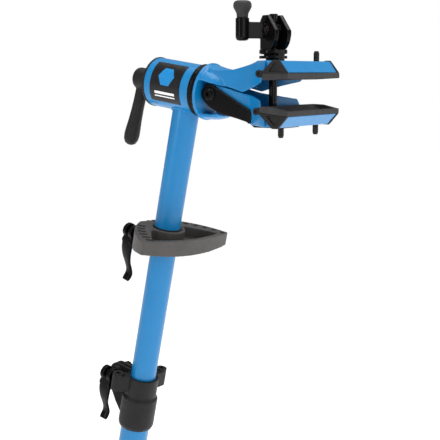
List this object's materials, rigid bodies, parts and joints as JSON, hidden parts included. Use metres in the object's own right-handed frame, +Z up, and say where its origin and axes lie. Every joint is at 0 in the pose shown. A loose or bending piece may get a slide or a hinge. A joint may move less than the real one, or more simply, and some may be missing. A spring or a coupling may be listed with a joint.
{
  "type": "bicycle repair stand",
  "caption": "Folding bicycle repair stand: leaning telescopic post, tool tray, turning head and screw-operated padded clamp.",
  "frame": {"origin": "middle of the stand's footprint at floor level", "axes": "+Z up, +X towards the clamp and the front feet, +Y to the stand's left"},
  "size_m": [0.6784, 0.836, 1.3947],
  "materials": {
    "blue_enamel": "satin blue enamel with a light orange-peel texture",
    "black_nylon": "moulded black nylon, fine grain",
    "black_metal": "semi-gloss black coating, worn on the edges",
    "black_rubber": "matt black rubber",
    "jaw_rubber": "dark grey rubber, ribbed where it grips",
    "label": "black film with plain pale bars",
    "nylon": "natural nylon",
    "steel": "zinc plated, faintly brushed"
  },
  "bodies": {
    "base": {"lower_tube": "blue_enamel", "rear_foot": "black_rubber", "height_collar": "black_nylon", "height_liner": "nylon", "height_lock_skewer": "steel", "height_lock_cam_pin": "steel", "height_lock_nut": "steel"},
    "height_lever": {"height_lock_lever": "black_metal"},
    "leg_carrier": {"leg_collar": "black_nylon", "leg_liner": "nylon", "leg_pivot_bolts": "steel", "leg_pivot_nuts": "steel", "leg_lock_skewer": "steel", "leg_lock_cam_pin": "steel", "leg_lock_nut": "steel"},
    "leg_lever": {"leg_lock_lever": "black_metal"},
    "left_leg": {"left_leg_tube": "blue_enamel", "left_leg_knuckle": "black_nylon", "left_leg_foot": "black_rubber"},
    "right_leg": {"right_leg_tube": "blue_enamel", "right_leg_knuckle": "black_nylon", "right_leg_foot": "black_rubber"},
    "glide": {"tube_glide": "nylon"},
    "mast": {"upper_tube": "blue_enamel", "head_barrel": "blue_enamel", "barrel_label": "label", "front_bushing": "nylon", "rear_bushing": "nylon", "clutch_ring": "black_nylon", "rear_cap": "black_nylon"},
    "tray_slider": {"tray_liner": "nylon"},
    "tray": {"tool_tray": "black_nylon", "tray_lock_skewer": "steel", "tray_lock_cam_pin": "steel", "tray_lock_nut": "steel"},
    "tray_lever": {"tray_lock_lever": "black_metal"},
    "handle": {"lock_handle": "black_nylon"},
    "head": {"head_casting": "blue_enamel", "head_spindle": "steel", "hinge_bolt": "black_metal", "hinge_nut": "steel", "upper_jaw_pad": "jaw_rubber", "upper_jaw_caps": "jaw_rubber", "upper_jaw_pegs": "black_rubber", "thrust_washer": "black_metal", "thrust_collar": "black_metal"},
    "lower_jaw": {"lower_jaw_arm": "blue_enamel", "lower_yoke": "black_metal", "lower_jaw_pad": "jaw_rubber", "lower_jaw_caps": "jaw_rubber", "lower_jaw_pegs": "black_rubber"},
    "rod": {"clamp_rod": "black_metal", "rod_pin": "steel"},
    "crank": {"barrel_nut": "steel", "clamp_crank": "black_metal", "knob_pin": "steel"},
    "knob": {"crank_knob": "black_rubber"}
  },
  "joints": [
    {"name": "height_lever_flip", "type": "hinge", "parent": "base", "child": "height_lever", "pos_m": [-0.17582, -0.02085, 0.88911], "axis": [-0.9786, 0, 0.2057], "range_deg": [0, 165]},
    {"name": "leg_collar_slide", "type": "slide", "parent": "base", "child": "leg_carrier", "axis": [0.2057, 0, 0.9786], "range_m": [0, 0.25]},
    {"name": "leg_lever_flip", "type": "hinge", "parent": "leg_carrier", "child": "leg_lever", "pos_m": [-0.25506, -0.02085, 0.49754], "axis": [-0.9786, 0, 0.2057], "range_deg": [0, 165]},
    {"name": "left_leg_fold", "type": "hinge", "parent": "leg_carrier", "child": "left_leg", "pos_m": [-0.1731, 0.0281, 0.48031], "axis": [-0.5288, 0.8414, 0.1112], "range_deg": [0, 62]},
    {"name": "right_leg_fold", "type": "hinge", "parent": "leg_carrier", "child": "right_leg", "pos_m": [-0.1731, -0.0281, 0.48031], "axis": [0.5288, 0.8414, -0.1112], "range_deg": [0, 62]},
    {"name": "height_slide", "type": "slide", "parent": "base", "child": "glide", "axis": [0.2057, 0, 0.9786], "range_m": [-0.12, 0.16]},
    {"name": "mast_swivel", "type": "hinge", "parent": "glide", "child": "mast", "pos_m": [-0.04766, 0, 1.28982], "axis": [0.2057, 0, 0.9786], "continuous": true},
    {"name": "tray_slide", "type": "slide", "parent": "mast", "child": "tray_slider", "axis": [-0.2057, 0, -0.9786], "range_m": [-0.05, 0.1]},
    {"name": "tray_swivel", "type": "hinge", "parent": "tray_slider", "child": "tray", "pos_m": [-0.08859, 0, 1.09507], "axis": [0.2057, 0, 0.9786], "continuous": true},
    {"name": "tray_lever_flip", "type": "hinge", "parent": "tray", "child": "tray_lever", "pos_m": [-0.13666, -0.01265, 1.09496], "axis": [-0.9628, 0.1788, 0.2024], "range_deg": [0, 165]},
    {"name": "lock_handle_turn", "type": "hinge", "parent": "mast", "child": "handle", "pos_m": [-0.11892, 0, 1.30015], "axis": [-0.9897, 0, 0.1435], "range_deg": [0, 180]},
    {"name": "head_turn", "type": "hinge", "parent": "mast", "child": "head", "pos_m": [-0.04766, 0, 1.28982], "axis": [0.9897, 0, -0.1435], "continuous": true},
    {"name": "crank_turn", "type": "hinge", "parent": "head", "child": "crank", "pos_m": [0.07864, 0, 1.36082], "axis": [0, 0, 1], "range_deg": [-180, 1260]},
    {"name": "rod_slide", "type": "slide", "parent": "head", "child": "rod", "axis": [0, 0, 1], "range_m": [-0.01402, 0.00202]},
    {"name": "lower_jaw_open", "type": "hinge", "parent": "head", "child": "lower_jaw", "pos_m": [0.00084, 0, 1.28282], "axis": [0, 1, 0], "range_deg": [-1.36, 9.46]},
    {"name": "knob_spin", "type": "hinge", "parent": "crank", "child": "knob", "pos_m": [0.04806, -0.02163, 1.36082], "axis": [0, 0, 1], "continuous": true}
  ],
  "couplings": [
    {"joint": "rod_slide", "follows": "crank_turn", "m_per_rad": -0.00063662},
    {"joint": "lower_jaw_open", "follows": "crank_turn", "ratio": 0.0074896}
  ]
}
